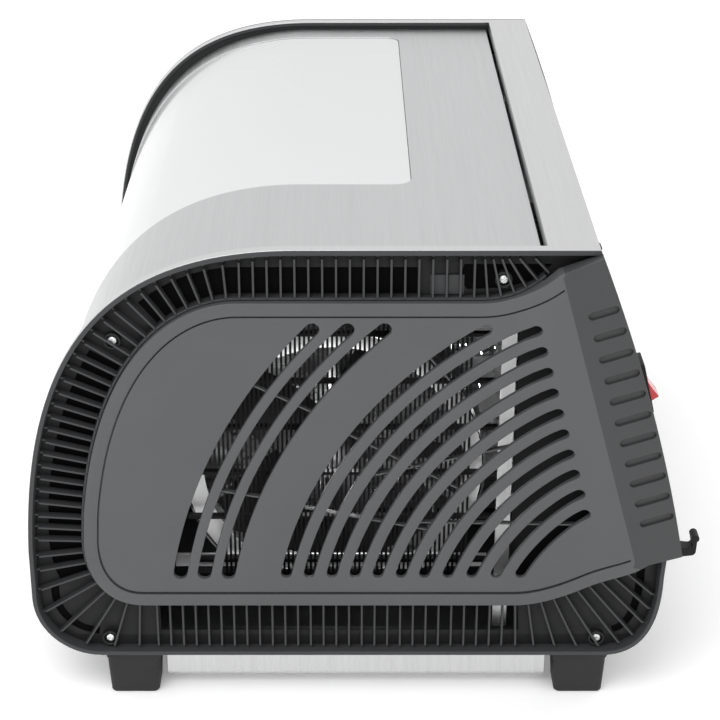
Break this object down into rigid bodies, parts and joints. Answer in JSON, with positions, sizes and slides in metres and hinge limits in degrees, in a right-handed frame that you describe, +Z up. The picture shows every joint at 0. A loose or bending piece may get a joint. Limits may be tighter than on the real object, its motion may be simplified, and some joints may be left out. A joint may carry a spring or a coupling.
{
  "type": "food dehydrator",
  "caption": "Wide countertop food dehydrator with a curved roll-top door and window, drying trays, a side fan and heater, and slotted ribbed ends.",
  "frame": {"origin": "bottom centre of the object's bounding box, on the surface it stands on", "axes": "+Z up, +X along the length towards the fan and heater end, -Y towards the door"},
  "size_m": [0.576, 0.4708, 0.337],
  "materials": {
    "plastic": "fine-grained dark grey moulding",
    "cover": "satin dark grey moulding",
    "black": "matt black moulding",
    "steel": "brushed stainless steel",
    "chrome": "polished wire and bar",
    "window": "milky translucent pane",
    "rubber": "matt dark rubber",
    "gasket": "soft grey silicone",
    "red": "glossy red",
    "screw": "blackened steel",
    "board": "green circuit board",
    "display": "dark glossy lens"
  },
  "bodies": {
    "root": {"side_frame_right": "plastic", "side_frame_left": "plastic", "vent_cover_right": "cover", "vent_cover_left": "cover", "vent_grille_right": "black", "vent_grille_left": "black", "cover_screw_1_right": "screw", "cover_screw_1_left": "screw", "cover_screw_2_right": "screw", "cover_screw_2_left": "screw", "cover_screw_3_right": "screw", "cover_screw_3_left": "screw", "cover_screw_4_right": "screw", "cover_screw_4_left": "screw", "outer_shell": "steel", "base_tub": "plastic", "front_fascia": "plastic", "base_pan": "steel", "foot_front_right": "rubber", "foot_rear_right": "rubber", "foot_front_left": "rubber", "foot_rear_left": "rubber", "cord_hook_right": "black", "cord_hook_left": "black", "switch_plate": "steel", "switch_bezel": "black", "power_inlet": "black", "display_window": "display", "control_board": "board", "cavity_liner": "steel", "rack_wall_left": "steel", "rack_wall_right": "steel", "drying_tray_1": "chrome", "drying_tray_2": "chrome", "drying_tray_3": "chrome", "drying_tray_4": "chrome", "drying_tray_5": "chrome", "fan_shroud": "chrome", "fan_motor": "steel", "heater_coil": "chrome", "thermostat": "steel"},
    "door": {"door_frame": "steel", "door_window": "window", "door_gasket": "gasket", "door_handle": "chrome", "hinge_pin_right": "chrome", "hinge_pin_left": "chrome"},
    "fan": {"fan_blade": "black"},
    "rocker": {"power_rocker": "red"},
    "drawer": {"drip_drawer": "steel"},
    "button_1": {"button_1": "black"},
    "button_2": {"button_2": "black"},
    "button_3": {"button_3": "black"},
    "button_4": {"button_4": "black"}
  },
  "joints": [
    {"name": "door_hinge", "type": "hinge", "parent": "root", "child": "door", "pos_m": [0, 0.1135, 0.3237], "axis": [-1, 0, 0], "range_deg": [0, 80]},
    {"name": "fan_spin", "type": "hinge", "parent": "root", "child": "fan", "pos_m": [0.2, -0.014, 0.165], "axis": [1, 0, 0], "continuous": true},
    {"name": "rocker_tilt", "type": "hinge", "parent": "root", "child": "rocker", "pos_m": [0.228, 0.19323, 0.21969], "axis": [-1, 0, 0], "range_deg": [0, 11]},
    {"name": "drawer_slide", "type": "slide", "parent": "root", "child": "drawer", "axis": [0, -1, 0], "range_m": [0, 0.25]},
    {"name": "button_1_press", "type": "slide", "parent": "root", "child": "button_1", "axis": [0, 1, 0], "range_m": [0, 0.0015], "stiffness_N_per_m": 400},
    {"name": "button_2_press", "type": "slide", "parent": "root", "child": "button_2", "axis": [0, 1, 0], "range_m": [0, 0.0015], "stiffness_N_per_m": 400},
    {"name": "button_3_press", "type": "slide", "parent": "root", "child": "button_3", "axis": [0, 1, 0], "range_m": [0, 0.0015], "stiffness_N_per_m": 400},
    {"name": "button_4_press", "type": "slide", "parent": "root", "child": "button_4", "axis": [0, 1, 0], "range_m": [0, 0.0015], "stiffness_N_per_m": 400}
  ]
}
